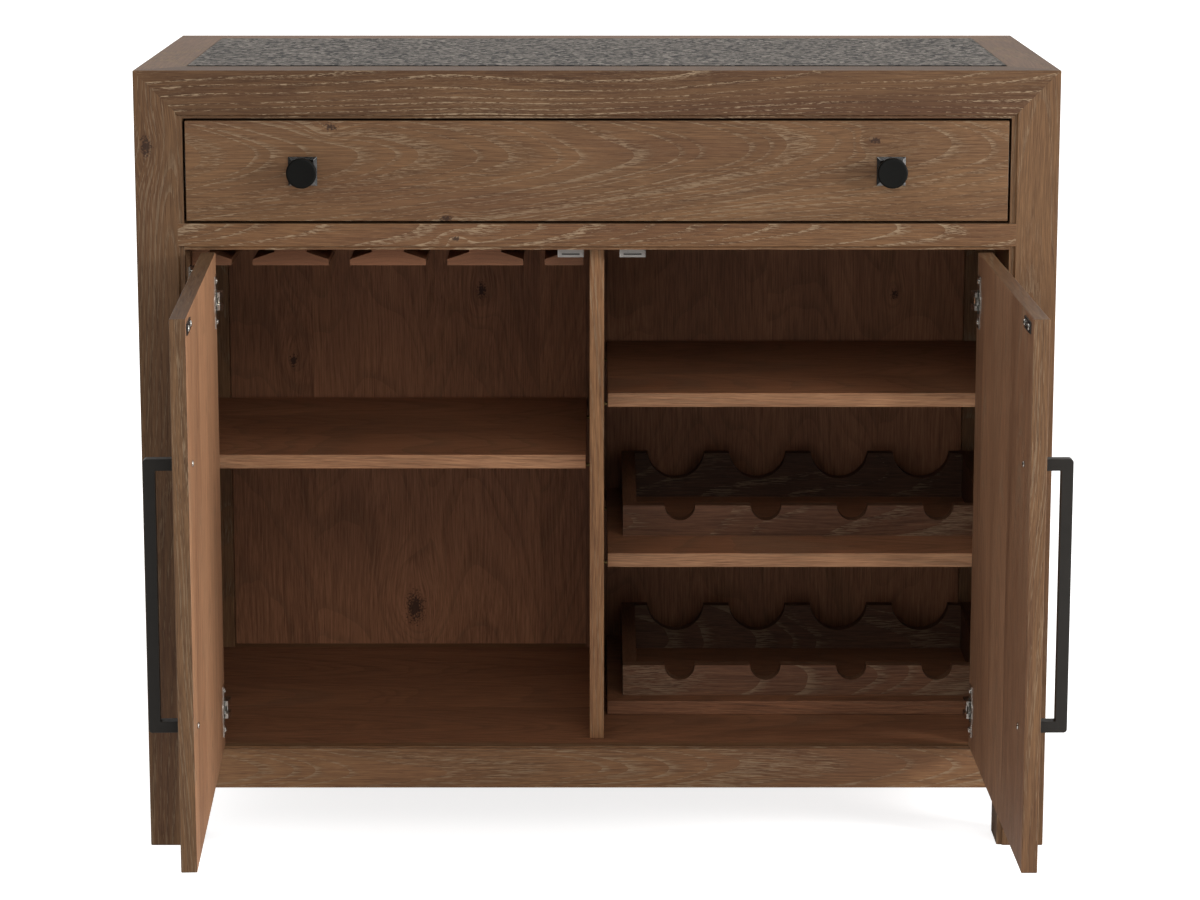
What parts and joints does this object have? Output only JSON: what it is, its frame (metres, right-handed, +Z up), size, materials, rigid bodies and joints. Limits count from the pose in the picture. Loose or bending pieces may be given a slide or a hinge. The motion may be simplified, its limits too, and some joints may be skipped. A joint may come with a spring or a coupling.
{
  "type": "bar cabinet",
  "caption": "Oak bar cabinet with a mitred frame, inset stone top, full-width drawer, hinged doors, glass rack and bottle racks.",
  "frame": {"origin": "on the floor, at the middle of the space that the cabinet takes with its doors open", "axes": "+Z up, the front of the cabinet faces -Y, +X to the right of someone facing the front"},
  "size_m": [1.118, 1.0112, 0.973],
  "materials": {
    "oak": "wire-brushed, cerused, satin",
    "inner_oak": "stained oak veneer, satin",
    "plain_board": "plain sealed board",
    "stone": "leathered dark grey granite",
    "dark_bronze": "matte black bronze",
    "dark_strike": "dark coated steel",
    "nickel": "nickel plate",
    "catch_grey": "grey zinc",
    "slide_zinc": "zinc plate"
  },
  "bodies": {
    "case": {"left_front_post": "oak", "right_front_post": "oak", "left_rear_post": "oak", "right_rear_post": "oak", "top_front_rail": "oak", "top_rear_rail": "oak", "top_left_rail": "oak", "top_right_rail": "oak", "left_side_panel": "oak", "right_side_panel": "oak", "drawer_divider_rail": "oak", "apron": "oak", "side_bottom_rails": "oak", "rear_bottom_rail": "oak", "dust_panel": "inner_oak", "floor_panel": "inner_oak", "back_panel": "inner_oak", "back_mullion": "inner_oak", "centre_divider": "inner_oak", "left_shelf": "inner_oak", "right_shelf": "inner_oak", "wine_shelf": "inner_oak", "rack_base_board": "inner_oak", "upper_rack_sides": "inner_oak", "upper_rack_front_rail": "inner_oak", "upper_rack_rear_rail": "inner_oak", "lower_rack_sides": "inner_oak", "lower_rack_front_rail": "inner_oak", "lower_rack_rear_rail": "inner_oak", "stemware_rails": "inner_oak", "top_substrate": "plain_board", "runner_boards": "plain_board", "stone_top": "stone", "hinge_plates": "nickel", "hinge_arms": "nickel", "hinge_plate_screws": "nickel", "shelf_pins": "nickel", "door_catches": "catch_grey", "slide_outer_members": "slide_zinc"},
    "drawer": {"drawer_front": "oak", "drawer_sub_front": "plain_board", "drawer_sides": "plain_board", "drawer_back": "plain_board", "drawer_bottom": "plain_board", "drawer_knobs": "dark_bronze", "knob_backplates": "dark_bronze", "slide_inner_members": "slide_zinc"},
    "slide_middles": {"slide_middle_members": "slide_zinc"},
    "left_door": {"left_door_panel": "oak", "left_door_pull": "dark_bronze", "left_hinge_cups": "nickel", "left_strike_plate": "dark_strike", "left_door_screws": "nickel"},
    "left_links": {"left_hinge_links": "nickel"},
    "right_links": {"right_hinge_links": "nickel"},
    "right_door": {"right_door_panel": "oak", "right_door_pull": "dark_bronze", "right_hinge_cups": "nickel", "right_strike_plate": "dark_strike", "right_door_screws": "nickel"}
  },
  "joints": [
    {"name": "drawer_slide", "type": "slide", "parent": "case", "child": "drawer", "axis": [0, -1, 0], "range_m": [0, 0.4]},
    {"name": "slide_middles_travel", "type": "slide", "parent": "case", "child": "slide_middles", "axis": [0, -1, 0], "range_m": [0, 0.2]},
    {"name": "left_door_hinge", "type": "hinge", "parent": "case", "child": "left_door", "pos_m": [-0.491, -0.01637, 0.441], "axis": [0, 0, 1], "range_deg": [-22.5, 87.5]},
    {"name": "right_door_hinge", "type": "hinge", "parent": "case", "child": "right_door", "pos_m": [0.491, -0.01637, 0.441], "axis": [0, 0, 1], "range_deg": [-90.6, 19.4]},
    {"name": "left_link_swing", "type": "hinge", "parent": "case", "child": "left_links", "pos_m": [-0.491, -0.01637, 0.441], "axis": [0, 0, 1], "range_deg": [-11.25, 43.75]},
    {"name": "right_link_swing", "type": "hinge", "parent": "case", "child": "right_links", "pos_m": [0.491, -0.01637, 0.441], "axis": [0, 0, 1], "range_deg": [-45.3, 9.7]}
  ],
  "couplings": [
    {"joint": "slide_middles_travel", "follows": "drawer_slide", "ratio": 0.5},
    {"joint": "left_link_swing", "follows": "left_door_hinge", "ratio": 0.5},
    {"joint": "right_link_swing", "follows": "right_door_hinge", "ratio": 0.5}
  ]
}
